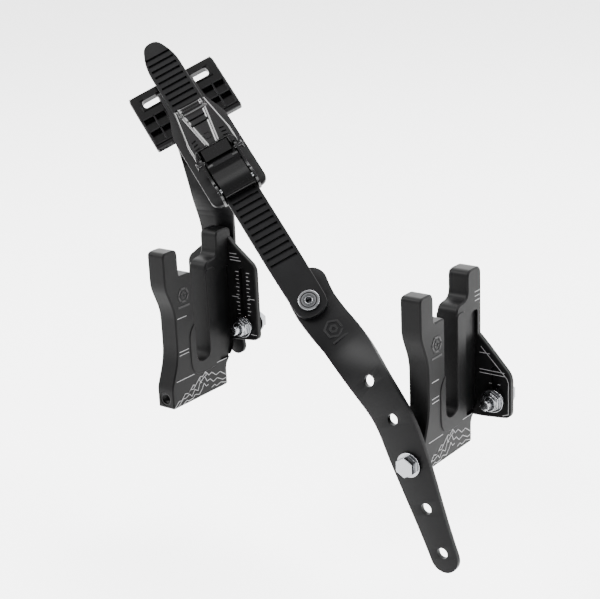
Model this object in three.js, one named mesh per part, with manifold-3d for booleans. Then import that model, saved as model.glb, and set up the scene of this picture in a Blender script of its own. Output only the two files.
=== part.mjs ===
// Snowboard carrier kit: two fork brackets and the ratchet strap that ties a board down into them.
// Millimetres, +Z up. X runs from the left bracket to the right one, along the board.
// Y runs from the open side of the rack to the vehicle panel that the flanges bolt to.

import * as THREE from 'three';
import { mergeVertices } from 'three/addons/utils/BufferGeometryUtils.js';
import Module from 'manifold-3d';

const wasm = await Module();
wasm.setup();

// ---------- driving dimensions ----------

const GAP = 0.3;                 // clearance left between neighbouring pieces
const BRACKET_SPACING = 177.5;   // left bracket to right bracket, along X
const BODY_THICK = 12.7;         // bracket body, half an inch
const BODY_DEPTH = 63.5;         // front of the foot to the back of the flange
const FRONT_PRONG_TOP = 99;
const REAR_PRONG_TOP = 101;
const NOTCH_FLOOR = 82;
const SHELF_TOP = 84;            // shoulder in front of the rear prong
const SLOT_FRONT = 24;           // board slot, front wall
const SLOT_WIDTH = 12.8;
const SLOT_BOTTOM = 23.3;
const RIM_RAISE = 0.5;           // raised band around the board slot
const RIM_WIDTH = 5.5;
const POCKET_DEPTH = 1.8;         // relief between the slot rim and the flange
const FLANGE_THICK = 4;
const FLANGE_HALF = 27;          // flange half width, the flange stands out on both sides
const FLANGE_SLOT_X = 17;
const FLANGE_SLOT_WIDTH = 6.8;
const GROOVE_SLOT_WIDTH = 5;
const FOOT_HOLE_Z = 6;           // threaded insert in the front of the foot
const BACK_HOLE_Z = 50;          // threaded insert in the back of the body
const INSERT_R = 4.2;
const INSERT_LENGTH = 9;
const INSERT_BORE_R = 3.15;      // clear of the M6 shank

const LEFT_FLANGE = { bottom: 30, shoulder: 78, top: 95, slotLow: 37.5, slotHigh: 40.5, grooveHigh: 74, boltZ: 38.5 };
const RIGHT_FLANGE = { bottom: 15, shoulder: 40, top: 62, slotLow: 23, slotHigh: 27, grooveHigh: 42, boltZ: 25 };

const BOLT_R = 2.9;              // M6
const BOLT_FLANGE_R = 7.1;
const HEX_R = 5.77;              // 10 mm across flats
const PANEL_GRIP = 5;            // room for the vehicle panel between flange and bolt head
const WASHER_R = 6.4;
const WASHER_THICK = 1.4;
const NUT_HEIGHT = 6;
const THREAD_STANDOUT = 4;       // bolt end beyond the lock nut

const STRAP_THICK = 2.6;
const EXTENSION_THICK = 3;
const EXTENSION_WIDTH = 25;
const EXTENSION_TIP_R = 8.5;
const EXTENSION_TOP_R = 9;
const HOLE_R = 3.25;
const HOLE_PITCH = 26;

const LADDER_WIDTH = 20.5;
const LADDER_THICK = 3.2;
const LADDER_TIP = 203;          // measured from the ladder's lower pivot
const TOOTH_PITCH = 4.64;
const TOOTH_COUNT = 35;
const TOOTH_START = 28.4;
const GROOVE_WIDTH = 17;
const GROOVE_DEPTH = 1.1;
const GROOVE_LENGTH = 1.9;

const GUARD_WIDTH = 58;
const GUARD_LOW = 138.5;
const GUARD_HIGH = 178;
const GUARD_SLOT_HALF = 22.5;
const GUARD_SLOT_LOW = 168.2;
const GUARD_SLOT_HIGH = 174.4;
const GUARD_THICK = 4;

const PAD_LOW = 82.5;             // front end of the pad under the buckle
const PAD_HALF = 18;
const NECK_HALF = 12;
const TAIL_HALF = 6;
const PAD_CORNER_R = 5;
const PAD_Z = -5.15;             // middle of the pad, below the ladder's middle plane
const FOLD_Y = 168;              // centre of the fold through the edge guard's slot
const FOLD_R = 4.25;
const FOLD_STEPS = 12;
const BACK_RUN_STEPS = 54;

const CHEEK_INNER = 10.9;
const CHEEK_OUTER = 12.3;
const BASE_LOW = 80;
const BASE_HIGH = 115;
const BASE_FLOOR_LOW = -3.5;
const BASE_FLOOR_HIGH = -2.1;
const LEVER_PIVOT = { y: 107.5, z: 4.6 };
const LOCK_PIVOT = { y: 86, z: 4.4 };
const DRIVE_PIVOT = { y: 118, z: 4.4 };
const LEVER_TOP = 8.4;
const LEVER_SHEET = 1.6;
const LEVER_TIP = 146.5;
const RIVET_Y = [90, 100];
const LEVER_TIP_HALF = 10.5;
const ARM_INNER = 12.6;
const ARM_OUTER = 14;
const PIN_R = 1.3;

// The strap's own frame: x across it, y up along the ladder, z out of its toothed face.
const LADDER_PIVOT = new THREE.Vector3(105, 10, 82.4);
const LADDER_TOP = new THREE.Vector3(-35.8, 55, 204.6);
const ACROSS = new THREE.Vector3(0.58, 0.71, 0.4);

// A point on the left flange's back face is the origin of the whole model.
const ORIGIN = new THREE.Vector3(23.5, BODY_DEPTH, 62);

// ---------- materials ----------

function plastic(color, roughness) {
  return new THREE.MeshStandardMaterial({ color, roughness, metalness: 0 });
}

function metal(color, roughness) {
  return new THREE.MeshStandardMaterial({ color, roughness, metalness: 1 });
}

const BRACKET_PLASTIC = plastic(0x2f2f31, 0.6);
const STRAP_PLASTIC = plastic(0x303032, 0.55);
const GLOSS_PLASTIC = plastic(0x151516, 0.25);
const BLACK_METAL = metal(0x1b1b1d, 0.2);
const ZINC = metal(0xb9bcc0, 0.3);

// ---------- solids ----------

function solid(geometry) {
  geometry.deleteAttribute('normal');
  geometry.deleteAttribute('uv');
  const merged = mergeVertices(geometry, 1e-4);
  return new wasm.Manifold(new wasm.Mesh({
    numProp: 3,
    vertProperties: new Float32Array(merged.attributes.position.array),
    triVerts: new Uint32Array(merged.index.array),
  }));
}

function toGeometry(manifold) {
  const mesh = manifold.getMesh();
  const geometry = new THREE.BufferGeometry();
  geometry.setAttribute('position', new THREE.BufferAttribute(new Float32Array(mesh.vertProperties), 3));
  geometry.setIndex(new THREE.BufferAttribute(new Uint32Array(mesh.triVerts), 1));
  geometry.computeVertexNormals();
  return geometry;
}

function join(first, ...others) {
  return others.reduce((sum, other) => sum.add(other), first);
}

function cut(first, ...tools) {
  return tools.reduce((rest, tool) => rest.subtract(tool), first);
}

function box(low, high) {
  const geometry = new THREE.BoxGeometry(high[0] - low[0], high[1] - low[1], high[2] - low[2]);
  geometry.translate((low[0] + high[0]) / 2, (low[1] + high[1]) / 2, (low[2] + high[2]) / 2);
  return solid(geometry);
}

// A cylinder from one point to another; sides = 6 gives a hexagon.
function rod(from, to, radius, sides = 18) {
  const start = new THREE.Vector3(...from);
  const along = new THREE.Vector3(...to).sub(start);
  const geometry = new THREE.CylinderGeometry(radius, radius, along.length(), sides);
  geometry.translate(0, along.length() / 2, 0);
  geometry.applyQuaternion(new THREE.Quaternion().setFromUnitVectors(
    new THREE.Vector3(0, 1, 0), along.clone().normalize()));
  geometry.translate(start.x, start.y, start.z);
  return solid(geometry);
}

// A closed outline through corners [x, y, radius], each corner rounded by its radius.
function outline(corners) {
  const shape = new THREE.Shape();
  corners.forEach(([x, y, radius = 0], i) => {
    const corner = new THREE.Vector2(x, y);
    const before = new THREE.Vector2(...corners[(i + corners.length - 1) % corners.length]);
    const after = new THREE.Vector2(...corners[(i + 1) % corners.length]);
    const entry = corner.clone().add(before.sub(corner).setLength(radius));
    const exit = corner.clone().add(after.sub(corner).setLength(radius));
    if (i === 0) {
      shape.moveTo(entry.x, entry.y);
    } else if (shape.currentPoint.distanceTo(entry) > 1e-3) {
      shape.lineTo(entry.x, entry.y);
    }
    if (radius > 0) {
      shape.quadraticCurveTo(x, y, exit.x, exit.y);
    }
  });
  shape.closePath();
  return shape;
}

function extrude(shape, low, high, edge = 0, curveSegments = 4) {
  const geometry = new THREE.ExtrudeGeometry(shape, {
    depth: high - low - 2 * edge,
    bevelEnabled: edge > 0,
    bevelThickness: edge,
    bevelSize: edge,
    bevelOffset: -edge,
    bevelSegments: 1,
    curveSegments,
  });
  geometry.translate(0, 0, low + edge);
  return geometry;
}

// Outline in (Y, Z), thickness along X.
function plateX(shape, low, high, edge = 0) {
  const geometry = extrude(shape, low, high, edge);
  geometry.applyMatrix4(new THREE.Matrix4().makeBasis(
    new THREE.Vector3(0, 1, 0), new THREE.Vector3(0, 0, 1), new THREE.Vector3(1, 0, 0)));
  return solid(geometry);
}

// Outline in (X, Z), thickness along Y.
function plateY(shape, low, high, edge = 0) {
  const geometry = extrude(shape, -high, -low, edge);
  geometry.applyMatrix4(new THREE.Matrix4().makeBasis(
    new THREE.Vector3(1, 0, 0), new THREE.Vector3(0, 0, 1), new THREE.Vector3(0, -1, 0)));
  return solid(geometry);
}

// Outline in (x, y), thickness along z.
function plateZ(shape, low, high, edge = 0) {
  return solid(extrude(shape, low, high, edge));
}

// A flat strap that bends and twists: a rectangle carried along stations
// { at, across, half }, where across is the width direction and half the half width.
function strap(stations, thickness) {
  const rings = stations.map((station, i) => {
    const before = stations[Math.max(i - 1, 0)].at;
    const after = stations[Math.min(i + 1, stations.length - 1)].at;
    const along = after.clone().sub(before).normalize();
    const face = station.across.clone().cross(along).normalize();
    const across = along.clone().cross(face);
    const side = across.multiplyScalar(station.half);
    const lift = face.multiplyScalar(thickness / 2);
    return [[-1, -1], [1, -1], [1, 1], [-1, 1]].map(([s, f]) =>
      station.at.clone().addScaledVector(side, s).addScaledVector(lift, f));
  });
  const positions = rings.flat().flatMap((point) => point.toArray());
  const index = [];
  for (let ring = 0; ring + 1 < rings.length; ring += 1) {
    for (let k = 0; k < 4; k += 1) {
      const a = 4 * ring + k;
      const b = 4 * ring + (k + 1) % 4;
      index.push(a, b + 4, b, a, a + 4, b + 4);
    }
  }
  const last = 4 * (rings.length - 1);
  index.push(0, 1, 2, 0, 2, 3, last, last + 2, last + 1, last, last + 3, last + 2);
  const geometry = new THREE.BufferGeometry();
  geometry.setAttribute('position', new THREE.Float32BufferAttribute(positions, 3));
  geometry.setIndex(index);
  return solid(geometry);
}

// Half width at a distance from an end whose corners have the given radius.
function roundEnd(half, radius, distance) {
  const inside = Math.max(radius - distance, 0);
  return half - radius + Math.sqrt(Math.max(radius * radius - inside * inside, 0.09));
}

function blend(from, to, t) {
  const s = THREE.MathUtils.smoothstep(t, 0, 1);
  return from.clone().lerp(to, s).normalize();
}

// ---------- scene graph helpers ----------

const model = new THREE.Group();
model.position.copy(ORIGIN).negate();

const left = new THREE.Group();
const right = new THREE.Group();
right.position.x = BRACKET_SPACING;

const alongLadder = LADDER_TOP.clone().sub(LADDER_PIVOT).normalize();
const outOfFace = ACROSS.clone().cross(alongLadder).normalize();
const acrossLadder = alongLadder.clone().cross(outOfFace);
const buckleFrame = new THREE.Group();
const buckleMatrix = new THREE.Matrix4().makeBasis(acrossLadder, alongLadder, outOfFace);
buckleMatrix.setPosition(LADDER_PIVOT);
buckleFrame.applyMatrix4(buckleMatrix);
model.add(left, right, buckleFrame);

function add(parent, name, shape, material) {
  const mesh = new THREE.Mesh(toGeometry(shape), material);
  mesh.name = name;
  parent.add(mesh);
}

function fromLadder(x, y, z) {
  return new THREE.Vector3(x, y, z).applyMatrix4(buckleMatrix);
}

// ---------- brackets ----------

function bodyOutline() {
  const slotBack = SLOT_FRONT + SLOT_WIDTH;
  const slotLow = SLOT_BOTTOM;
  const slotR = SLOT_WIDTH / 2;
  return outline([
    [0, 0, 1.6], [52, 0, 1.6], [52, 13, 3], [59, 20.5, 2], [BODY_DEPTH, 29, 2],
    [BODY_DEPTH, REAR_PRONG_TOP, 4], [49, REAR_PRONG_TOP, 4], [49, SHELF_TOP + 1, 5],
    [slotBack, SHELF_TOP, 5], [slotBack, slotLow, slotR], [SLOT_FRONT, slotLow, slotR],
    [SLOT_FRONT, NOTCH_FLOOR, 1.6], [13, NOTCH_FLOOR, 2], [13, FRONT_PRONG_TOP, 4],
    [0, FRONT_PRONG_TOP, 3], [0, 77, 4], [7, 60.5, 6], [7, 31, 8], [0, 13.3, 2],
  ]);
}

function rimOutline() {
  const front = SLOT_FRONT - RIM_WIDTH;
  const back = SLOT_FRONT + SLOT_WIDTH + 9;
  const low = SLOT_BOTTOM - 8;
  return outline([
    [front, low, 10], [back, low, 10], [back, 80, 3],
    [SLOT_FRONT + SLOT_WIDTH, 80, 3], [SLOT_FRONT + SLOT_WIDTH, SLOT_BOTTOM, SLOT_WIDTH / 2],
    [SLOT_FRONT, SLOT_BOTTOM, SLOT_WIDTH / 2], [SLOT_FRONT, 50, 2], [front, 44, 4],
  ]);
}

function pocketOutline() {
  const front = SLOT_FRONT + SLOT_WIDTH + 9.7;
  const back = BODY_DEPTH - FLANGE_THICK;
  return outline([[front, 17, 2], [front, 69, 3], [52, 77, 4], [back, 77, 2], [back, 24, 2], [back - 3, 17, 2]]);
}

function flangeOutline(flange) {
  const half = FLANGE_HALF;
  const low = flange.bottom;
  const neck = BODY_THICK / 2 + 2;
  return outline([
    [-half, low, 4], [-neck, low - 2, 3], [neck, low - 2, 3], [half, low, 4],
    [half, flange.shoulder, 4], [neck + 3, flange.top - 5, 4], [neck - 2, flange.top, 1],
    [2 - neck, flange.top, 1], [-neck - 3, flange.top - 5, 4], [-half, flange.shoulder, 4],
  ]);
}

function slotOutline(x, low, high, width) {
  const half = width / 2;
  return outline([[x - half, low - half, half], [x + half, low - half, half],
    [x + half, high + half, half], [x - half, high + half, half]]);
}

// The bolt's short through slot, and the blind groove of the height scale above it.
function flangeSlots(flange) {
  const front = BODY_DEPTH - FLANGE_THICK;
  return [-FLANGE_SLOT_X, FLANGE_SLOT_X].flatMap((x) => [
    plateY(slotOutline(x, flange.slotLow, flange.slotHigh, FLANGE_SLOT_WIDTH), front - 1, BODY_DEPTH + 1),
    plateY(slotOutline(x, flange.slotHigh, flange.grooveHigh, GROOVE_SLOT_WIDTH), front - 1, front + 2.6),
  ]);
}

function insertHole(y0, y1, z) {
  return rod([0, y0, z], [0, y1, z], INSERT_R + 0.15);
}

function bracket(flange) {
  const half = BODY_THICK / 2;
  const body = plateX(bodyOutline(), -half, half, 0.8);
  const rims = plateX(rimOutline(), -half - RIM_RAISE, half + RIM_RAISE, 0.4);
  const plate = plateY(flangeOutline(flange), BODY_DEPTH - FLANGE_THICK, BODY_DEPTH, 0.6);
  const pockets = [-1, 1].map((side) => plateX(
    pocketOutline(),
    side > 0 ? half - POCKET_DEPTH : -half - 2,
    side > 0 ? half + 2 : -half + POCKET_DEPTH));
  const solidBody = cut(body, ...pockets);
  return cut(
    join(solidBody, rims, plate),
    ...flangeSlots(flange),
    insertHole(-5, INSERT_LENGTH + 0.5, FOOT_HOLE_Z),
    insertHole(BODY_DEPTH - INSERT_LENGTH - 0.5, BODY_DEPTH + 5, BACK_HOLE_Z));
}

function insert(y0, y1, z) {
  return cut(rod([0, y0, z], [0, y1, z], INSERT_R), rod([0, y0 - 1, z], [0, y1 + 1, z], INSERT_BORE_R));
}

function addBracket(group, name, flange) {
  add(group, `${name}_bracket`, bracket(flange), BRACKET_PLASTIC);
  add(group, `${name}_foot_insert`, insert(0.4, INSERT_LENGTH, FOOT_HOLE_Z), BLACK_METAL);
  add(group, `${name}_back_insert`,
    insert(BODY_DEPTH - INSERT_LENGTH, BODY_DEPTH - 0.4, BACK_HOLE_Z), BLACK_METAL);
}

// ---------- fasteners ----------

// A hex flange bolt along Y: seat is where the head bears, direction the way the shank runs.
function flangeBolt(x, z, seat, direction, length) {
  const at = (distance) => [x, seat + direction * distance, z];
  return join(
    rod(at(-1.6), at(0), BOLT_FLANGE_R, 32),
    rod(at(-6), at(-1), HEX_R, 6),
    rod(at(-0.5), at(length), BOLT_R));
}

function washer(x, z, y0, y1) {
  return cut(rod([x, y0, z], [x, y1, z], WASHER_R, 32), rod([x, y0 - 1, z], [x, y1 + 1, z], BOLT_R + GAP));
}

function lockNut(x, z, front, back) {
  const collar = rod([x, front, z], [x, back - 2, z], HEX_R - 1.2, 24);
  const hex = rod([x, front + 2.2, z], [x, back - 0.5, z], HEX_R, 6);
  const flange = rod([x, back - 1.4, z], [x, back, z], WASHER_R + 0.4, 32);
  return cut(join(collar, hex, flange), rod([x, front - 1, z], [x, back + 1, z], BOLT_R + GAP));
}

function addFlangeBolt(group, name, flange) {
  const x = FLANGE_SLOT_X;
  const z = flange.boltZ;
  const face = BODY_DEPTH - FLANGE_THICK;
  const washerFront = face - GAP - WASHER_THICK;
  const nutBack = washerFront - GAP;
  const nutFront = nutBack - NUT_HEIGHT;
  const seat = BODY_DEPTH + PANEL_GRIP;
  const length = seat - nutFront + THREAD_STANDOUT;
  add(group, `${name}_flange_bolt`, flangeBolt(x, z, seat, -1, length), ZINC);
  add(group, `${name}_flange_washer`, washer(x, z, washerFront, face - GAP), ZINC);
  add(group, `${name}_lock_nut`, lockNut(x, z, nutFront, nutBack), ZINC);
}

// ---------- extension strap ----------

const EXTENSION_Y = -(EXTENSION_THICK / 2 + GAP);
const footBolt = new THREE.Vector3(BRACKET_SPACING, EXTENSION_Y, FOOT_HOLE_Z);
const tailStep = new THREE.Vector3(9.7, 0, -24.1).setLength(HOLE_PITCH);
const EXTENSION_LOCAL_Z = -(LADDER_THICK + EXTENSION_THICK) / 2 - 2 * GAP;
const extensionPivot = fromLadder(0, 0, EXTENSION_LOCAL_Z);

const extensionPath = new THREE.CatmullRomCurve3([
  fromLadder(5, 20.5, EXTENSION_LOCAL_Z),
  fromLadder(2.3, 0, EXTENSION_LOCAL_Z),
  fromLadder(3, -13, EXTENSION_LOCAL_Z),
  fromLadder(5.2, -30, EXTENSION_LOCAL_Z),
  new THREE.Vector3(150.3, 1.2, 47.4),
  new THREE.Vector3(167, EXTENSION_Y, 29.6),
  footBolt,
  footBolt.clone().add(tailStep),
  footBolt.clone().addScaledVector(tailStep, 2),
  footBolt.clone().addScaledVector(tailStep, 2.44),
], false, 'centripetal');

const EXTENSION_STATIONS = 72;
const extensionLength = extensionPath.getLength();

function extensionFace(u) {
  return blend(outOfFace, new THREE.Vector3(0, -1, 0), (u * extensionLength - 30) / 70);
}

function extensionStation(u) {
  const fromTop = u * extensionLength;
  const fromTip = (1 - u) * extensionLength;
  const taper = THREE.MathUtils.smoothstep(fromTip, 5, 80);
  const body = THREE.MathUtils.lerp(EXTENSION_TIP_R, EXTENSION_WIDTH / 2, taper);
  const half = Math.min(roundEnd(body, EXTENSION_TOP_R, fromTop), roundEnd(body, EXTENSION_TIP_R, fromTip));
  const along = extensionPath.getTangentAt(u);
  return {
    at: extensionPath.getPointAt(u),
    across: along.clone().cross(extensionFace(u)).normalize(),
    half,
  };
}

function holeThrough(centre, direction, radius) {
  const from = centre.clone().addScaledVector(direction, 12);
  const to = centre.clone().addScaledVector(direction, -12);
  return rod(from.toArray(), to.toArray(), radius);
}

function extensionStrap() {
  const stations = [];
  for (let i = 0; i <= EXTENSION_STATIONS; i += 1) {
    const t = i / EXTENSION_STATIONS;
    stations.push(extensionStation(0.5 - 0.5 * Math.cos(Math.PI * t)));
  }
  const tail = new THREE.Vector3(0, -1, 0);
  const upperHole = extensionPath.points[4];
  const upperFace = extensionFace(0.4);
  return cut(
    strap(stations, EXTENSION_THICK),
    holeThrough(extensionPivot, outOfFace, HOLE_R),
    holeThrough(upperHole, upperFace, HOLE_R),
    ...extensionPath.points.slice(5, 9).map((centre) => holeThrough(centre, tail, HOLE_R)));
}

function addExtension() {
  add(model, 'extension_strap', extensionStrap(), STRAP_PLASTIC);
  const seat = EXTENSION_Y - EXTENSION_THICK / 2 - GAP;
  add(model, 'foot_bolt', flangeBolt(BRACKET_SPACING, FOOT_HOLE_Z, seat, 1, 12.4), ZINC);
}

// ---------- ladder strap ----------

function ladderOutline() {
  const half = LADDER_WIDTH / 2;
  return outline([
    [-half + 0.6, -9.5, 9], [half - 0.6, -9.5, 9], [half, 30, 0],
    [half, LADDER_TIP - 14, 8], [4.5, LADDER_TIP, 4.5], [-4.5, LADDER_TIP, 4.5], [-half, LADDER_TIP - 14, 8],
    [-half, 30, 0],
  ]);
}

function ladderStrap() {
  const top = LADDER_THICK / 2;
  const grooves = [];
  for (let i = 0; i <= TOOTH_COUNT; i += 1) {
    const y = TOOTH_START + i * TOOTH_PITCH;
    grooves.push(box([-GROOVE_WIDTH / 2, y, top - GROOVE_DEPTH], [GROOVE_WIDTH / 2, y + GROOVE_LENGTH, top + 1]));
  }
  return cut(plateZ(ladderOutline(), -top, top, 0.4), ...grooves, rod([0, 0, -5], [0, 0, 5], HOLE_R));
}

function teeNut() {
  const seat = LADDER_THICK / 2 + GAP;
  const flange = rod([0, 0, seat], [0, 0, seat + 1.3], 6.1, 32);
  const sleeve = rod([0, 0, -4.6], [0, 0, seat + 0.5], HOLE_R - 0.35);
  return cut(join(flange, sleeve), rod([0, 0, -8], [0, 0, 8], 1.95));
}

function pivotScrew() {
  const seat = EXTENSION_LOCAL_Z - EXTENSION_THICK / 2 - GAP;
  return join(rod([0, 0, seat - 1.8], [0, 0, seat], 5, 32), rod([0, 0, seat - 0.5], [0, 0, -1.5], 1.6));
}

function addLadder() {
  add(buckleFrame, 'ladder_strap', ladderStrap(), STRAP_PLASTIC);
  add(buckleFrame, 'pivot_tee_nut', teeNut(), ZINC);
  add(buckleFrame, 'pivot_screw', pivotScrew(), ZINC);
}

// ---------- buckle strap: back run, fold through the guard, pad under the buckle ----------

const BACK_Y = BODY_DEPTH + GAP + STRAP_THICK / 2;
const BACK_Z = PAD_Z - 2 * FOLD_R;

function backRunPoints() {
  const path = new THREE.CatmullRomCurve3([
    new THREE.Vector3(6.8, BACK_Y, 16.8),
    new THREE.Vector3(0, BACK_Y, BACK_HOLE_Z),
    new THREE.Vector3(-3.6, BACK_Y, 76),
    new THREE.Vector3(-5.4, BACK_Y, 103),
    fromLadder(-8, 124, BACK_Z - 2.6),
    fromLadder(-4.4, 141, BACK_Z - 0.7),
    fromLadder(-1.4, 156, BACK_Z),
    fromLadder(0, FOLD_Y, BACK_Z),
  ], false, 'centripetal');
  const points = [];
  for (let i = 0; i <= BACK_RUN_STEPS; i += 1) {
    points.push(path.getPointAt((i / BACK_RUN_STEPS) ** 1.6));
  }
  return points;
}

function foldPoints() {
  const points = [];
  for (let i = 1; i < FOLD_STEPS; i += 1) {
    const angle = (Math.PI * i) / FOLD_STEPS;
    points.push(fromLadder(0, FOLD_Y + FOLD_R * Math.sin(angle), PAD_Z - FOLD_R - FOLD_R * Math.cos(angle)));
  }
  return points;
}

function padPoints() {
  const points = [];
  const steps = 26;
  for (let i = 0; i <= steps; i += 1) {
    points.push(fromLadder(0, THREE.MathUtils.lerp(FOLD_Y, PAD_LOW, Math.sin((Math.PI / 2) * (i / steps))), PAD_Z));
  }
  return points;
}

function buckleStrapHalf(travelled, remaining, onPad) {
  if (!onPad) {
    const tail = THREE.MathUtils.lerp(TAIL_HALF, NECK_HALF, THREE.MathUtils.smoothstep(travelled, 10, 75));
    return roundEnd(tail, TAIL_HALF, travelled);
  }
  const widen = THREE.MathUtils.smoothstep(remaining, 52, 76);
  const half = THREE.MathUtils.lerp(PAD_HALF, NECK_HALF, widen);
  return roundEnd(half, PAD_CORNER_R, remaining);
}

function buckleStrap() {
  const back = backRunPoints();
  const points = [...back, ...foldPoints(), ...padPoints()];
  const lengths = [0];
  for (let i = 1; i < points.length; i += 1) {
    lengths.push(lengths[i - 1] + points[i].distanceTo(points[i - 1]));
  }
  const total = lengths[lengths.length - 1];
  const stations = points.map((at, i) => ({
    at,
    across: blend(new THREE.Vector3(1, 0, 0), acrossLadder, (lengths[i] - 60) / 90),
    half: buckleStrapHalf(lengths[i], total - lengths[i], i >= back.length + FOLD_STEPS - 1),
  }));
  const through = new THREE.Vector3(0, 1, 0);
  const base = RIVET_Y.map((y) => holeThrough(fromLadder(0, y, PAD_Z), outOfFace, 2.2));
  return cut(
    strap(stations, STRAP_THICK),
    holeThrough(new THREE.Vector3(0, BACK_Y, BACK_HOLE_Z), through, HOLE_R),
    ...base);
}

function addBuckleStrap() {
  add(model, 'buckle_strap', buckleStrap(), STRAP_PLASTIC);
  const seat = BACK_Y + STRAP_THICK / 2 + GAP;
  add(model, 'back_bolt', flangeBolt(0, BACK_HOLE_Z, seat, -1, 11.5), ZINC);
}

// ---------- edge guard ----------

function guardPockets(z) {
  const tools = [];
  for (const side of [-1, 1]) {
    for (const column of [0, 1]) {
      for (const row of [0, 1]) {
        const x = side * (16.4 + column * 7.6);
        const y = GUARD_LOW + 8.5 + row * 9.6;
        tools.push(plateZ(outline([[x - 3.3, y - 4.4, 0.6], [x + 3.3, y - 4.4, 0.6],
          [x + 3.3, y + 4.4, 0.6], [x - 3.3, y + 4.4, 0.6]]), z - 2.6, z + 1));
      }
    }
  }
  return tools;
}

function edgeGuard() {
  const half = GUARD_WIDTH / 2;
  const z = PAD_Z - FOLD_R;
  const low = z - GUARD_THICK / 2;
  const high = z + GUARD_THICK / 2;
  const plate = plateZ(outline([[-half, GUARD_LOW, 1.5], [half, GUARD_LOW, 1.5],
    [half, GUARD_HIGH + 2, 3], [-half, GUARD_HIGH + 2, 3]]), low, high, 0.5);
  const lip = plateX(outline([[GUARD_HIGH - 1.5, z, 1], [GUARD_HIGH + 2.4, z + 1.6, 1.2],
    [GUARD_HIGH + 2.8, z - 6.4, 1.2], [GUARD_HIGH - 0.4, z - 6.4, 1.2]]), -half + 0.6, half - 0.6);
  const slot = plateZ(outline([[-GUARD_SLOT_HALF, GUARD_SLOT_LOW, 2.4], [GUARD_SLOT_HALF, GUARD_SLOT_LOW, 2.4],
    [GUARD_SLOT_HALF, GUARD_SLOT_HIGH, 2.4], [-GUARD_SLOT_HALF, GUARD_SLOT_HIGH, 2.4]]), low - 1, high + 1);
  return cut(join(plate, lip), slot, ...guardPockets(high));
}

// ---------- ratchet buckle ----------

function cheekOutline() {
  return outline([
    [BASE_LOW, BASE_FLOOR_LOW, 0.5], [BASE_HIGH, BASE_FLOOR_LOW, 0.5], [BASE_HIGH, 2.5, 2],
    [LEVER_PIVOT.y + 2.5, 6.3, 2], [LEVER_PIVOT.y - 3, 6.3, 2], [100, 3, 3], [94, 3, 3],
    [LOCK_PIVOT.y + 3, 6.3, 2], [LOCK_PIVOT.y - 3, 6.3, 2], [BASE_LOW, 1.5, 2],
  ]);
}

function buckleBase() {
  const floor = plateZ(outline([[-CHEEK_OUTER, BASE_LOW, 1], [CHEEK_OUTER, BASE_LOW, 1],
    [CHEEK_OUTER, BASE_HIGH, 1], [-CHEEK_OUTER, BASE_HIGH, 1]]), BASE_FLOOR_LOW, BASE_FLOOR_HIGH);
  const cheeks = [
    plateX(cheekOutline(), CHEEK_INNER, CHEEK_OUTER),
    plateX(cheekOutline(), -CHEEK_OUTER, -CHEEK_INNER),
  ];
  const pivots = [LEVER_PIVOT, LOCK_PIVOT].map(({ y, z }) => rod([-20, y, z], [20, y, z], PIN_R + 0.25));
  const rivets = RIVET_Y.map((y) => rod([0, y, -8], [0, y, 0], 2.2));
  return cut(join(floor, ...cheeks), ...pivots, ...rivets);
}

function baseRivet(y) {
  const under = PAD_Z - STRAP_THICK / 2 - GAP;
  return join(rod([0, y, under - 0.4], [0, y, BASE_FLOOR_HIGH - 0.05], 1.9),
    rod([0, y, under - 0.9], [0, y, under], 3.6));
}

function leverOutline() {
  return outline([
    [-LEVER_TIP_HALF, LEVER_TIP, 2.5], [-ARM_OUTER, 121.5, 6], [-ARM_OUTER, 111, 0.4],
    [ARM_OUTER, 111, 0.4], [ARM_OUTER, 121.5, 6], [LEVER_TIP_HALF, LEVER_TIP, 2.5],
  ]);
}

function armOutline() {
  const { y, z } = LEVER_PIVOT;
  return outline([
    [y - 6, z - 2, 1.9], [y + 6, z - 3, 2], [y + 14, 3.2, 2], [y + 14, LEVER_TOP - 0.3, 0.5],
    [y - 2, LEVER_TOP - 0.3, 1.9], [y - 6, z + 2, 1.9],
  ]);
}

function leverWindow() {
  const { y } = LEVER_PIVOT;
  return outline([[-9.6, y - 2, 0.5], [9.6, y - 2, 0.5], [9.6, y + 5, 2.8], [5, y + 8.5, 2.8],
    [-5, y + 8.5, 2.8], [-9.6, y + 5, 2.8]]);
}

function buckleLever() {
  const sheet = plateZ(leverOutline(), LEVER_TOP - LEVER_SHEET, LEVER_TOP, 0.3);
  const grip = plateZ(outline([[-LEVER_TIP_HALF + 0.4, LEVER_TIP - 6, 0.5], [LEVER_TIP_HALF - 0.4, LEVER_TIP - 6, 0.5],
    [LEVER_TIP_HALF - 0.4, LEVER_TIP, 2.4], [-LEVER_TIP_HALF + 0.4, LEVER_TIP, 2.4]]), 4.4, LEVER_TOP + 0.6, 0.4);
  const arms = [plateX(armOutline(), ARM_INNER, ARM_OUTER), plateX(armOutline(), -ARM_OUTER, -ARM_INNER)];
  const trough = plateZ(outline([[-4, 126, 1], [4, 126, 1], [6.5, 138, 1], [-6.5, 138, 1]]),
    LEVER_TOP - 0.6, LEVER_TOP + 1);
  const pivots = [LEVER_PIVOT, DRIVE_PIVOT].map(({ y, z }) => rod([-20, y, z], [20, y, z], PIN_R + 0.25));
  return cut(join(sheet, grip, ...arms), plateZ(leverWindow(), 0, 12), trough, ...pivots);
}

function leverRivet(side) {
  const { y, z } = LEVER_PIVOT;
  const head = rod([side * (ARM_OUTER + GAP), y, z], [side * (ARM_OUTER + GAP + 1), y, z], 2.4);
  return join(head, rod([side * 9.9, y, z], [side * (ARM_OUTER + 0.8), y, z], PIN_R));
}

function crossPin(pivot, half) {
  return rod([-half, pivot.y, pivot.z], [half, pivot.y, pivot.z], PIN_R);
}

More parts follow.
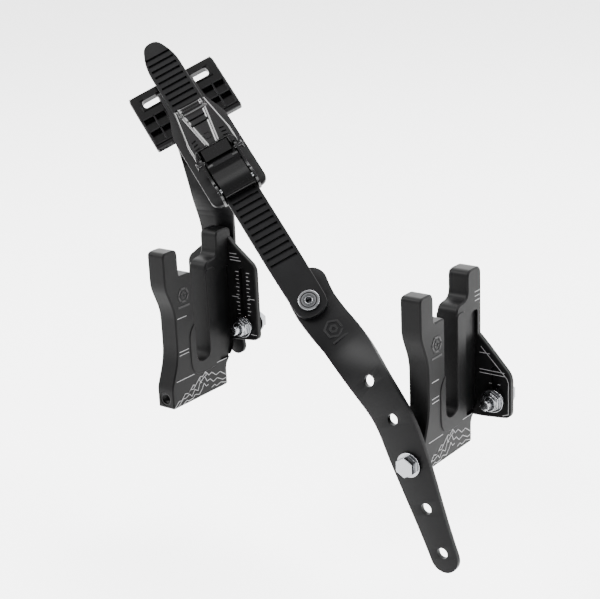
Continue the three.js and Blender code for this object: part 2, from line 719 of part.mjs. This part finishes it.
function drivePawl() {
  const { y, z } = DRIVE_PIVOT;
  const profile = outline([[y + 2.2, z - 1.9, 1.5], [y + 2.2, z + 1.7, 1.5], [y - 2.2, z + 1.7, 1.5],
    [y - 9, 2.2, 0.4], [y - 8, LADDER_THICK / 2 + GAP, 0.3], [y - 5.5, LADDER_THICK / 2 + 1.2, 1]]);
  return cut(plateX(profile, -8.6, 8.6), rod([-12, y, z], [12, y, z], PIN_R + 0.25),
    rod([-2.6, y, z], [2.6, y, z], 2.4));
}

function lockPawl() {
  const { y, z } = LOCK_PIVOT;
  const profile = outline([
    [80.4, 3.2, 1], [y + 4, LADDER_THICK / 2 + 0.9, 1], [94, LADDER_THICK / 2 + GAP, 0.3], [96, 2.6, 0.4],
    [99, 3.4, 1], [105, 4, 0.6], [105, 5.6, 0.6], [102, 7, 1], [98.5, 5.6, 1], [92, 6.4, 2],
    [y, 7.6, 3], [80.4, 5.4, 1],
  ]);
  return cut(plateX(profile, -9.8, 9.8), rod([-12, y, z], [12, y, z], PIN_R + 0.25),
    rod([-2.6, y, z], [2.6, y, z], 2.4));
}

function coilSpring(pivot) {
  const { y, z } = pivot;
  return cut(rod([-2.3, y, z], [2.3, y, z], 2.1), rod([-3, y, z], [3, y, z], PIN_R + 0.2));
}

function addBuckle() {
  add(buckleFrame, 'edge_guard', edgeGuard(), GLOSS_PLASTIC);
  add(buckleFrame, 'buckle_base', buckleBase(), BLACK_METAL);
  add(buckleFrame, 'base_rivet_lower', baseRivet(RIVET_Y[0]), ZINC);
  add(buckleFrame, 'base_rivet_upper', baseRivet(RIVET_Y[1]), ZINC);
  add(buckleFrame, 'buckle_lever', buckleLever(), BLACK_METAL);
  add(buckleFrame, 'lever_rivet_left', leverRivet(-1), BLACK_METAL);
  add(buckleFrame, 'lever_rivet_right', leverRivet(1), BLACK_METAL);
  add(buckleFrame, 'drive_pawl', drivePawl(), BLACK_METAL);
  add(buckleFrame, 'drive_pawl_pin', crossPin(DRIVE_PIVOT, ARM_OUTER), ZINC);
  add(buckleFrame, 'drive_spring', coilSpring(DRIVE_PIVOT), ZINC);
  add(buckleFrame, 'lock_pawl', lockPawl(), GLOSS_PLASTIC);
  add(buckleFrame, 'lock_pawl_pin', crossPin(LOCK_PIVOT, CHEEK_OUTER), ZINC);
  add(buckleFrame, 'lock_spring', coilSpring(LOCK_PIVOT), ZINC);
}

// ---------- assembly ----------

addBracket(left, 'left', LEFT_FLANGE);
addBracket(right, 'right', RIGHT_FLANGE);
addFlangeBolt(left, 'left', LEFT_FLANGE);
addFlangeBolt(right, 'right', RIGHT_FLANGE);
addExtension();
addLadder();
addBuckleStrap();
addBuckle();

export default model;
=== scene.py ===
"""Looks of a snowboard carrier strap kit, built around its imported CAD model.

Lengths are in millimetres unless a comment says otherwise.
"""

import math

import bmesh
import bpy
from mathutils import Matrix, Vector


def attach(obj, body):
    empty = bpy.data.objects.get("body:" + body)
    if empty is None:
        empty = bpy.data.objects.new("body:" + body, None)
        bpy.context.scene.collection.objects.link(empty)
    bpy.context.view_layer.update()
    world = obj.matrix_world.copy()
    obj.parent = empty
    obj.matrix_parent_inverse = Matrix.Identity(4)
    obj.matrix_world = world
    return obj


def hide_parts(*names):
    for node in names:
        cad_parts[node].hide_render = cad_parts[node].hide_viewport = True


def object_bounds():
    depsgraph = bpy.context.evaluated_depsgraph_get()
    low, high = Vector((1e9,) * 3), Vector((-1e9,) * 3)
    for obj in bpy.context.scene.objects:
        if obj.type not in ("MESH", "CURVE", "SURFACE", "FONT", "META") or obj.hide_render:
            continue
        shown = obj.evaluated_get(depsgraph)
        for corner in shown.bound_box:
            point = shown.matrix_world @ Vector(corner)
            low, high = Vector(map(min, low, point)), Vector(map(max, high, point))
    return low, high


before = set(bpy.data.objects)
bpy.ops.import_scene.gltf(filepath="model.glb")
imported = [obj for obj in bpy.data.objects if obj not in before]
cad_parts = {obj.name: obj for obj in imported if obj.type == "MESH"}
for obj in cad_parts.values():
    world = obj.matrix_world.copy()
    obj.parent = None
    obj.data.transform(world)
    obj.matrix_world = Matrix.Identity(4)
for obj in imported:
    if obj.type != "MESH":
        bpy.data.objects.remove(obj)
CAD_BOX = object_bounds()

MM = 0.001

# Brackets
ORIGIN = Vector((23.5, 63.5, 62.0))  # the row's origin, in the left bracket's own frame
SPACING = 177.5
THICK = 12.7
HALF = THICK / 2
FLANGE_FACE = 59.5
LEFT_BOLT_Z = 38.5
RIGHT_BOLT_Z = 25
BOLT_X = 17

# Ladder strap: its own frame runs across, along and out of the strap
LADDER_PIVOT = Vector((105.0, 10.0, 82.4))
LADDER_TOP = Vector((-35.8, 55.0, 204.6))
ALONG = (LADDER_TOP - LADDER_PIVOT).normalized()
OUT = Vector((0.58, 0.71, 0.4)).cross(ALONG).normalized()
ACROSS = ALONG.cross(OUT)
UP = (0, 0, 1)
TEE_NUT_TOP = 3.2
GUARD_FACE = -7.4

# Buckle lever, along the strap from its pivot end to its tip
LEVER_ROOT_HALF = 14.0
LEVER_TIP_HALF = 10.6
LEVER_TAPER_START = 121
LEVER_TAPER_LENGTH = 24
LEVER_LIP = 141
LEVER_SHEET = 0.8

# Marks
HEX_TURNS = [math.radians(60 * i) for i in range(7)]
CIRCLE_TURNS = [math.radians(15 * i) for i in range(25)]

# Floor and camera
FLOOR_DROP = 0.06  # metres; the strap swings below its resting height
FLOOR_HALF = 8.0  # metres
CAMERA_LENS = 85.1
CAMERA_EYE = Vector((553.7, -592.5, 327.5))
CAMERA_TURN = (37.07, 17.95, -2.58)  # azimuth, elevation and roll in degrees


# ---------- places ----------

def bracket_frame(dx=0.0):
    """Millimetres in a bracket's own frame to metres in the row frame."""
    return Matrix.Translation((Vector((dx, 0, 0)) - ORIGIN) * MM) @ Matrix.Scale(MM, 4)


def strap_frame():
    """Millimetres in the ladder strap's frame to metres in the row frame."""
    turn = Matrix((ACROSS, ALONG, OUT)).transposed().to_4x4()
    return Matrix.Translation((LADDER_PIVOT - ORIGIN) * MM) @ turn @ Matrix.Scale(MM, 4)


LEFT = bracket_frame()
RIGHT = bracket_frame(SPACING)
STRAP = strap_frame()


# ---------- materials ----------

def new_material(name):
    material = bpy.data.materials.new(name)
    material.use_nodes = True
    nodes = material.node_tree.nodes
    return material, nodes, material.node_tree.links, nodes["Principled BSDF"]


def surface(name, color, roughness, metallic=0.0, specular=0.5, grain=400.0, depth=0.00003, wear=0.15):
    """A surface with slow mottling of its gloss and a fine grain."""
    material, nodes, links, shader = new_material(name)
    shader.inputs["Metallic"].default_value = metallic
    shader.inputs["Specular IOR Level"].default_value = specular
    place = nodes.new("ShaderNodeTexCoord")
    slow = nodes.new("ShaderNodeTexNoise")
    slow.inputs["Scale"].default_value = 60
    slow.inputs["Detail"].default_value = 5
    links.new(place.outputs["Object"], slow.inputs["Vector"])
    tint = nodes.new("ShaderNodeMix")
    tint.data_type = "RGBA"
    tint.inputs["A"].default_value = (*[c * (1 - wear) for c in color], 1)
    tint.inputs["B"].default_value = (*[min(c * (1 + wear), 1) for c in color], 1)
    links.new(slow.outputs["Fac"], tint.inputs["Factor"])
    links.new(tint.outputs["Result"], shader.inputs["Base Color"])
    gloss = nodes.new("ShaderNodeMapRange")
    gloss.inputs["To Min"].default_value = roughness * (1 - wear)
    gloss.inputs["To Max"].default_value = roughness * (1 + wear)
    links.new(slow.outputs["Fac"], gloss.inputs["Value"])
    links.new(gloss.outputs["Result"], shader.inputs["Roughness"])
    fine = nodes.new("ShaderNodeTexNoise")
    fine.inputs["Scale"].default_value = grain
    fine.inputs["Detail"].default_value = 4
    links.new(place.outputs["Object"], fine.inputs["Vector"])
    bump = nodes.new("ShaderNodeBump")
    bump.inputs["Strength"].default_value = 0.5
    bump.inputs["Distance"].default_value = depth
    links.new(fine.outputs["Fac"], bump.inputs["Height"])
    links.new(bump.outputs["Normal"], shader.inputs["Normal"])
    return material


BRACKET = surface("bracket_plastic", (0.0014, 0.0014, 0.0015), 0.44, specular=0.07, grain=1600, depth=0.00002)
STRAP_PLASTIC = surface("strap_plastic", (0.0015, 0.0015, 0.0017), 0.42, specular=0.08, grain=900,
                        depth=0.000015)
GLOSS = surface("gloss_plastic", (0.0006, 0.0006, 0.0007), 0.2, specular=0.2, grain=200, depth=0.00001)
BLACK_METAL = surface("black_metal", (0.0005, 0.0005, 0.0006), 0.13, specular=0.45, grain=300, depth=0.00001)
# dark steel for the inserts and the tapped hole; also used as the painted shade of the tee nut's groove
DARK = surface("dark_steel_and_groove_shade", (0.0015, 0.0015, 0.0017), 0.4, specular=0.15, grain=300, depth=0.00001)
ZINC = surface("zinc", (0.22, 0.225, 0.235), 0.2, metallic=1.0, grain=2500, depth=0.000006, wear=0.12)
# light grey: painted highlight for the hairlines along the brackets' edges and seams, and the colour of the
# printed ridge and height ticks
HIGHLIGHT_AND_PRINT_LINE = surface("edge_highlight_and_print_line", (0.16, 0.16, 0.163), 0.5, grain=800, depth=0.000005, wear=0.05)
MARK = surface("moulded_mark", (0.0012, 0.0012, 0.0014), 0.4, specular=0.2, grain=800, depth=0.00001)


# ---------- pieces ----------

def finish_piece(name, mesh, material, body, replaced=()):
    obj = bpy.data.objects.new(name, mesh)
    bpy.context.scene.collection.objects.link(obj)
    mesh.materials.clear()
    mesh.materials.append(material)
    if replaced:
        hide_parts(*replaced)
    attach(obj, body)
    return obj


def soften(obj, width, even_flats, segments=3, angle=32):
    """Rounds every hard edge by width, and can keep the flats flat."""
    bevel = obj.modifiers.new("round", "BEVEL")
    bevel.width = width * MM
    bevel.segments = segments
    bevel.limit_method = "ANGLE"
    bevel.angle_limit = math.radians(angle)
    bevel.use_clamp_overlap = True
    obj.data.polygons.foreach_set("use_smooth", [True] * len(obj.data.polygons))
    if even_flats:
        obj.modifiers.new("even", "WEIGHTED_NORMAL").weight = 80


def dressed(node, body, material, width, flat=0.6, even=True):
    """The CAD node's own shape with its edges rounded."""
    bm = bmesh.new()
    bm.from_mesh(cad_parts[node].data)
    bmesh.ops.remove_doubles(bm, verts=bm.verts, dist=0.01 * MM)
    bmesh.ops.dissolve_limit(bm, angle_limit=math.radians(flat), verts=bm.verts, edges=bm.edges)
    mesh = bpy.data.meshes.new(node + "_shape")
    bm.to_mesh(mesh)
    bm.free()
    obj = finish_piece(node + "_dressed", mesh, material, body, [node])
    soften(obj, width, even)
    return obj


def build_from_frame():
    for side in ("left", "right"):
        frame_body = side + "_frame"
        dressed(side + "_bracket", frame_body, BRACKET, 0.45)
        dressed(side + "_foot_insert", frame_body, DARK, 0.2)
        dressed(side + "_back_insert", frame_body, DARK, 0.2)
        for kind in ("flange_bolt", "flange_washer", "lock_nut"):
            dressed(f"{side}_{kind}", side + "_bolts", ZINC, 0.25)
    dressed("foot_bolt", "right_frame", ZINC, 0.3)
    dressed("back_bolt", "left_frame", ZINC, 0.3)
    dressed("extension_strap", "extension", STRAP_PLASTIC, 0.6, flat=0.01, even=False)
    dressed("pivot_tee_nut", "extension", ZINC, 0.3)
    dressed("pivot_screw", "extension", ZINC, 0.3)
    dressed("ladder_strap", "ladder", STRAP_PLASTIC, 0.3)
    dressed("buckle_strap", "strap_back", STRAP_PLASTIC, 0.5, flat=0.01, even=False)
    dressed("edge_guard", "guard", GLOSS, 0.4)
    dressed("buckle_base", "strap_back", BLACK_METAL, 0.3)
    dressed("drive_pawl", "drive", BLACK_METAL, 0.3)
    dressed("lock_pawl", "lock", GLOSS, 0.4)
    for node in ("base_rivet_lower", "base_rivet_upper", "lock_pawl_pin", "lock_spring"):
        dressed(node, "strap_back", ZINC, 0.25)
    for node in ("lever_rivet_left", "lever_rivet_right"):
        dressed(node, "strap_back", BLACK_METAL, 0.25)
    for node in ("drive_pawl_pin", "drive_spring"):
        dressed(node, "lever", ZINC, 0.2)


build_from_frame()

# ---------- raised and printed details, painted edge highlights and groove shade ---

def add_bar(bm, matrix, a, b, normal, width, height):
    """A thin straight bar from a to b lying on a surface with that normal."""
    a, b, normal = Vector(a), Vector(b), Vector(normal).normalized()
    along = (b - a).normalized()
    side = normal.cross(along) * (width / 2)
    ends = (a - along * (width / 3), b + along * (width / 3))
    corners = [bm.verts.new(matrix @ (end + side * s + normal * h))
               for end in ends for s in (-1, 1) for h in (-0.15, height)]
    for face in ((0, 1, 3, 2), (4, 6, 7, 5), (0, 4, 5, 1), (2, 3, 7, 6), (1, 5, 7, 3), (0, 2, 6, 4)):
        bm.faces.new([corners[i] for i in face])


def bars(name, body, material, matrix, groups, width=0.36, height=0.07):
    """One piece of bars. groups holds (normal, [polyline, ...]); a polyline is a list of points."""
    bm = bmesh.new()
    for normal, polylines in groups:
        for points in polylines:
            for a, b in zip(points, points[1:]):
                add_bar(bm, matrix, a, b, normal, width, height)
    bmesh.ops.recalc_face_normals(bm, faces=bm.faces)
    mesh = bpy.data.meshes.new(name)
    bm.to_mesh(mesh)
    bm.free()
    return finish_piece(name, mesh, material, body)


def on_sides(lines):
    """Lines in (y, z) laid on both wide faces of a bracket."""
    return [((side, 0, 0), [[(side * HALF, y, z) for y, z in line] for line in lines])
            for side in (1, -1)]


def on_flange(lines):
    """Lines in (x, z) laid on the front of both ears of a flange."""
    return [((0, -1, 0), [[(side * x, FLANGE_FACE, z) for x, z in line] for line in lines])
            for side in (1, -1)]


# A mountain ridge along a bracket's foot, in (y, z)
RIDGE = [
    [(0.8, 0.8), (5, 4.2), (7.5, 3.8), (11, 7.2), (14, 6.4), (19, 10.2), (21, 9.4), (26, 13.6), (28, 12.6),
     (31, 15.2), (34, 11.8), (37, 12.8), (41, 9.6), (45, 10.6), (51.4, 6.2)],
    [(4, 1), (9, 4.6), (11, 4.1), (15, 5.6), (17, 3.4), (20, 6.8), (23, 5.2), (25, 9.4), (30, 12.2), (32, 8.4),
     (35, 9), (38, 6.2), (42, 7.4), (47, 4.6), (51.4, 4.8)],
    [(9, 1), (12, 2.6), (14, 1.6), (18, 1.9), (20, 3.6), (24, 2.4), (27, 5), (29, 8), (31, 5.4), (33, 5.9)],
    [(26, 13.6), (25, 11), (27, 9.2), (25, 9.4)],
    [(36, 3), (39, 3.9), (41, 2.4), (45, 3.4), (51.4, 1.4)],
    [(31, 15.2), (31.5, 12.6), (30, 12.2)],
    [(14, 6.4), (16, 8), (19, 7.6), (21, 9.4)],
]


def hexagon(y, z, radius):
    return [(y + radius * math.cos(t), z + radius * math.sin(t)) for t in HEX_TURNS]


def bracket_details():
    # The short lines on the wide faces and the ear lines, with the outline along the right flange's edges, are
    # painted highlights along edges and seams; the mountain ridge is printed.
    left_lines = [[(4.2, 16.9), (20.6, 16.9)], [(41.5, 17.4), (52.4, 17.4)], [(8.6, 34.8), (17, 34.8)],
                  [(8.6, 32.6), (17, 32.6)], [(8.9, 56), (17, 56)]]
    left_ear = [[(8, 84.9), (13.2, 84.9)], [(8, 82.6), (14.8, 82.6)], [(8, 80.7), (16.2, 80.7)],
                [(8, 56.8), (13, 56.8)], [(21, 56.8), (25.6, 56.8)], [(21.6, 33.4), (26, 33.4)],
                [(7.5, 35), (11.5, 35)]]
    right_lines = [[(6.4, 15.9), (20.6, 15.9)], [(42.3, 16.7), (52.4, 16.7)], [(10.2, 49.3), (17, 49.3)],
                   [(10.2, 39.7), (17, 39.7)], [(10.2, 37.4), (17, 37.4)], [(56.6, 87.3), (62.4, 87.3)],
                   [(56.6, 84.8), (62.4, 84.8)], [(56.6, 82.2), (62.4, 82.2)]]
    right_ear = [[(7.5, 51.5), (14, 51.5)], [(7.5, 41.6), (23, 41.6)], [(7.5, 39.6), (24, 39.6)],
                 [(8.4, 55), (24.6, 38.6), (25.6, 36), (25.6, 17.4), (22, 16)], [(7.5, 18.6), (13, 17.4)],
                 [(13.6, 34.2), (15, 34.2)], [(19, 34.2), (20.4, 34.2)]]
    sides = (("left", LEFT, left_lines, left_ear), ("right", RIGHT, right_lines, right_ear))
    for side, matrix, lines, ear in sides:
        # one light-grey piece: painted edge highlights plus the printed ridge
        bars(side + "_edge_highlights_and_ridge", side + "_frame", HIGHLIGHT_AND_PRINT_LINE, matrix, on_sides(lines + RIDGE) + on_flange(ear))
        mark = on_sides([hexagon(15.6, 69.6, 4.6), hexagon(15.6, 69.6, 2), [(10.6, 62.6), (20.2, 62.6)]])
        bars(side + "_mark", side + "_frame", MARK, matrix, mark, width=1.1, height=0.22)
    height_scale()


def height_scale():
    """Short ticks, long and shorter by turns, on both sides of the left flange's slots."""
    ticks = []
    for step in range(12):
        z = 46 + 2.5 * step
        reach = 2.3 if step % 2 else 1.4
        ticks.append([(BOLT_X - 3.1 - reach, z), (BOLT_X - 3.1, z)])
        ticks.append([(BOLT_X + 3.1, z), (BOLT_X + 3.1 + reach, z)])
    bars("left_height_scale", "left_frame", HIGHLIGHT_AND_PRINT_LINE, LEFT, on_flange(ticks), width=0.38)


def screw_thread(name, body, matrix, x, z, y_from, y_to, radius=2.95, core=2.5, inside=False):
    """A rod with a helical V thread along Y, or the wall of a tapped hole."""
    pitch = 1.0
    turns = 20
    bm = bmesh.new()
    rows = int(abs(y_to - y_from) / pitch * 8)
    grid = []
    for row in range(rows + 1):
        y = y_from + (y_to - y_from) * row / rows
        ring = []
        for k in range(turns):
            phase = (y / pitch + k / turns) % 1.0
            r = core + (radius - core) * (1 - abs(2 * phase - 1))
            if row in (0, rows) and not inside:
                r = core
            angle = 2 * math.pi * k / turns
            ring.append(bm.verts.new(matrix @ Vector((x + r * math.cos(angle), y, z + r * math.sin(angle)))))
        grid.append(ring)
    for low_ring, high_ring in zip(grid, grid[1:]):
        for k in range(turns):
            n = (k + 1) % turns
            bm.faces.new((low_ring[k], low_ring[n], high_ring[n], high_ring[k]))
    if not inside:
        bm.faces.new(grid[0])
        bm.faces.new(grid[-1])
    bmesh.ops.recalc_face_normals(bm, faces=bm.faces)
    mesh = bpy.data.meshes.new(name)
    bm.to_mesh(mesh)
    bm.free()
    mesh.polygons.foreach_set("use_smooth", [True] * len(mesh.polygons))
    return finish_piece(name, mesh, DARK if inside else ZINC, body)


def fastener_details():
    screw_thread("left_bolt_thread", "left_bolts", LEFT, BOLT_X, LEFT_BOLT_Z, 47.3, 51.8)
    screw_thread("right_bolt_thread", "right_bolts", RIGHT, BOLT_X, RIGHT_BOLT_Z, 47.3, 51.8)
    screw_thread("left_foot_thread", "left_frame", LEFT, 0, 6, 1.2, 8.6, radius=3.2, core=2.45, inside=True)


def tee_nut_rings():
    """The tee nut's stepped head: a flat dark ring of painted shade stands for the groove round a bright
    collar.
    """
    groove = [(4.5 * math.cos(t), 4.5 * math.sin(t), TEE_NUT_TOP) for t in CIRCLE_TURNS]
    collar = [(2.9 * math.cos(t), 2.9 * math.sin(t), TEE_NUT_TOP) for t in CIRCLE_TURNS]
    # painted shade: the groove is not cut; a thin dark ring lies where its shade would fall
    bars("tee_nut_groove_shade", "extension", DARK, STRAP, [(UP, [groove])], width=0.7, height=0.05)
    bars("tee_nut_collar", "extension", ZINC, STRAP, [(UP, [collar])], width=1.1, height=0.35)


def extension_mark():
    """A plain hexagon over a bar, moulded in the extension strap above its first hole."""
    face = Vector((0.344, -0.697, 0.629)).normalized()
    down = Vector((0.805, -0.12, -0.58)).normalized()
    side = down.cross(face).normalized()
    middle = Vector((121.2, 9.6, 69.6))
    ring = [middle + down * (5.2 * math.cos(t)) + side * (5.2 * math.sin(t)) for t in HEX_TURNS]
    core = [middle + down * (2 * math.cos(t)) + side * (2 * math.sin(t)) for t in HEX_TURNS]
    foot = [middle + down * 7 + face * 0.25 - side * 5, middle + down * 7 + face * 0.25 + side * 5]
    bars("extension_mark", "extension", MARK, LEFT, [(face, [ring, core, foot])], width=1.1, height=0.3)


def mix(a, b, t):
    t = min(max(t, 0.0), 1.0)
    return a + (b - a) * t


def lever_section(y):
    """Half of the lever's cross-section at y, from its middle out to the foot of its side wall."""
    half = mix(LEVER_ROOT_HALF, LEVER_TIP_HALF, (y - LEVER_TAPER_START) / LEVER_TAPER_LENGTH)
    vee = mix(3.6, 7.4, (y - 115) / 26)
    dip = 7.3 if y < LEVER_LIP else 8.8
    wall = mix(0.6, 4.2, (y - 112) / 14)
    crest = dip + 1.1
    middle = [(0, dip), (vee - 0.8, dip + 0.1)]
    ridge = [(vee - 0.35, crest - 0.25), (vee, crest), (vee + 0.35, crest - 0.25), (vee + 0.9, 7.9)]
    side = [(half - 2.2, 8.1), (half - 0.9, 8.3), (half - 0.25, 7.7), (half, 6.8), (half, wall)]
    return middle + ridge + side


def lever_shell():
    """The pressed lever: side walls, two ridges that run together, a dished middle and an arched window."""
    stations = [108.6, 111, 113, 115, 117, 119, 121, 124, 127]
    stations += [130, 133, 136, 139, 140.6, 141.2, 143, 145, 146]
    bm = bmesh.new()
    rows = []
    for y in stations:
        side = lever_section(y)
        full = [(-x, z) for x, z in reversed(side[1:])] + side
        rows.append([bm.verts.new(STRAP @ Vector((x, y, z))) for x, z in full])
    for lower, upper in zip(rows, rows[1:]):
        for k in range(len(lower) - 1):
            a, b = full[k], full[k + 1]
            reach = max(abs(a[0]), abs(b[0]))
            y = (STRAP.inverted() @ ((lower[k].co + upper[k].co) / 2)).y
            arch = 10.2 * math.sqrt(max(0.0, 1 - (max(y - 108, 0) / 9.5) ** 2))
            if reach > arch + 0.6:
                bm.faces.new((lower[k], lower[k + 1], upper[k + 1], upper[k]))
    tip = rows[-1]
    drop = []
    for i, v in enumerate(tip):
        depth = 3.6 if 3 < i < len(tip) - 4 else 0.6
        drop.append(bm.verts.new(v.co + STRAP.to_3x3() @ Vector((0, 0.5, -depth))))
    for k in range(len(tip) - 1):
        bm.faces.new((tip[k], tip[k + 1], drop[k + 1], drop[k]))
    bmesh.ops.delete(bm, geom=[v for v in bm.verts if not v.link_faces], context="VERTS")
    bmesh.ops.recalc_face_normals(bm, faces=bm.faces)
    mesh = bpy.data.meshes.new("lever_shell")
    bm.to_mesh(mesh)
    bm.free()
    mesh.polygons.foreach_set("use_smooth", [True] * len(mesh.polygons))
    shell = finish_piece("lever_shell", mesh, BLACK_METAL, "lever", ["buckle_lever"])
    sheet = shell.modifiers.new("sheet", "SOLIDIFY")
    sheet.thickness = LEVER_SHEET * MM
    sheet.offset = -1
    fine = shell.modifiers.new("fine", "SUBSURF")
    fine.levels = 2
    fine.render_levels = 2


def lever_details():
    ribs = [[(side * 8.4, y, 8.1), (side * 10.6, y - 0.5, 8.1)]
            for side in (-1, 1) for y in (117, 119.8, 122.6)]
    bars("lever_ribs", "lever", BLACK_METAL, STRAP, [(UP, ribs)], width=1.3, height=0.7)
    columns = [-8 + 1.45 * i for i in range(12)]
    bumps = [[(x, y, 8.7), (x + 0.5, y, 8.7)] for y in (142.6, 144.4) for x in columns]
    bars("lever_knurl", "lever", BLACK_METAL, STRAP, [(UP, bumps)], width=0.9, height=0.6)
    tread = [[(-4.6, y, 7.2), (4.6, y, 7.2)] for y in (132.6, 137)]
    bars("lever_tread", "lever", BLACK_METAL, STRAP, [(UP, tread)], width=1.6, height=1.1)
    ring = [(2.4 * math.cos(t), 122 + 2.4 * math.sin(t), 7.2) for t in HEX_TURNS]
    bars("lever_mark", "lever", BLACK_METAL, STRAP, [(UP, [ring])], width=0.6, height=0.4)


def cover_ribs():
    """Low ribs across the lock pawl's cover and its brighter thumb bar."""
    ribs = []
    for y in (81.8, 84, 90, 92.4):
        z = 7.0 - 0.28 * abs(y - 87)
        ribs.append([(-8.8, y, z), (8.8, y, z)])
    bars("cover_ribs", "lock", GLOSS, STRAP, [(UP, ribs)], width=0.9, height=0.5)
    bars("thumb_bar", "lock", STRAP_PLASTIC, STRAP, [(UP, [[(-5.6, 102.4, 6.7), (5.6, 102.4, 6.7)]])],
         width=2.6, height=0.5)


def guard_details():
    """Raised ribs round the guard's pockets, and the bright lips of its long slot."""
    columns = (12.5, 20.2, 27.9)
    rows = (142, 151.8, 161.4)
    ribs = []
    for side in (-1, 1):
        for x in columns:
            ribs.append([(side * x, rows[0], GUARD_FACE), (side * x, rows[-1], GUARD_FACE)])
        for y in rows:
            ribs.append([(side * columns[0], y, GUARD_FACE), (side * columns[-1], y, GUARD_FACE)])
    bars("guard_ribs", "guard", STRAP_PLASTIC, STRAP, [(UP, ribs)], width=0.9, height=0.6)
    corners = [(-23.6, 167.4), (23.6, 167.4), (24.2, 171.3), (23.6, 175.2), (-23.6, 175.2), (-24.2, 171.3)]
    rim = [(x, y, GUARD_FACE) for x, y in corners + corners[:1]]
    bars("guard_slot_rim", "guard", GLOSS, STRAP, [(UP, [rim])], width=0.9, height=0.6)


bracket_details()
fastener_details()
tee_nut_rings()
extension_mark()
lever_shell()
lever_details()
cover_ribs()
guard_details()

# ---------- floor, light and camera ----------

low, high = CAD_BOX
centre = [(a + b) / 2 for a, b in zip(low, high)]


def make_floor():
    mesh = bpy.data.meshes.new("floor")
    half = FLOOR_HALF
    z = low[2] - FLOOR_DROP
    corners = [(-half, -half, z), (half, -half, z), (half, half, z), (-half, half, z)]
    mesh.from_pydata(corners, [], [(0, 1, 2, 3)])
    floor = bpy.data.objects.new("floor", mesh)
    bpy.context.scene.collection.objects.link(floor)
    material, _, _, shader = new_material("floor")
    shader.inputs["Base Color"].default_value = (0.97, 0.97, 0.97, 1)
    shader.inputs["Roughness"].default_value = 0.8
    mesh.materials.append(material)


def area_light(name, at, size, power):
    data = bpy.data.lights.new(name, "AREA")
    data.shape = "RECTANGLE"
    data.size, data.size_y = size
    data.energy = power
    light = bpy.data.objects.new(name, data)
    light.location = Vector(at) + Vector(centre)
    light.rotation_euler = (Vector(centre) - light.location).to_track_quat("-Z", "Y").to_euler()
    bpy.context.scene.collection.objects.link(light)


def make_world():
    """A white room that is dimmer on the side the front lights stand."""
    world = bpy.data.worlds.new("studio")
    world.use_nodes = True
    nodes = world.node_tree.nodes
    links = world.node_tree.links
    sky = nodes["Background"]
    sky.inputs["Color"].default_value = (1, 1, 1, 1)
    place = nodes.new("ShaderNodeTexCoord")
    front = nodes.new("ShaderNodeVectorMath")
    front.operation = "DOT_PRODUCT"
    front.inputs[1].default_value = (0.57, -0.76, 0.3)
    links.new(place.outputs["Generated"], front.inputs[0])
    level = nodes.new("ShaderNodeMapRange")
    level.interpolation_type = "SMOOTHSTEP"
    level.inputs["From Min"].default_value = -0.3
    level.inputs["From Max"].default_value = 0.7
    level.inputs["To Min"].default_value = 6.0
    level.inputs["To Max"].default_value = 0.9
    links.new(front.outputs["Value"], level.inputs["Value"])
    links.new(level.outputs["Result"], sky.inputs["Strength"])
    bpy.context.scene.world = world


def make_camera():
    data = bpy.data.cameras.new("camera")
    data.lens = CAMERA_LENS
    data.sensor_width = 36.0
    data.clip_start = 0.01
    data.clip_end = 50
    camera = bpy.data.objects.new("camera", data)
    azimuth, elevation, roll = (math.radians(v) for v in CAMERA_TURN)
    look = Vector((-math.sin(azimuth) * math.cos(elevation), math.cos(azimuth) * math.cos(elevation),
                   -math.sin(elevation)))
    level = Vector((math.cos(azimuth), math.sin(azimuth), 0))
    up = level.cross(look)
    right = level * math.cos(roll) + up * math.sin(roll)
    up = right.cross(look)
    camera.matrix_world = Matrix((right, up, -look)).transposed().to_4x4()
    camera.location = (CAMERA_EYE - ORIGIN) * MM
    bpy.context.scene.collection.objects.link(camera)
    bpy.context.scene.camera = camera


make_floor()
make_world()
area_light("key", (-0.9, -1.3, 1.4), (0.9, 0.9), 75)
area_light("side", (1.7, 0.2, 0.9), (0.5, 1.4), 45)
area_light("top", (0.2, 0.5, 2.0), (1.4, 1.4), 100)
make_camera()
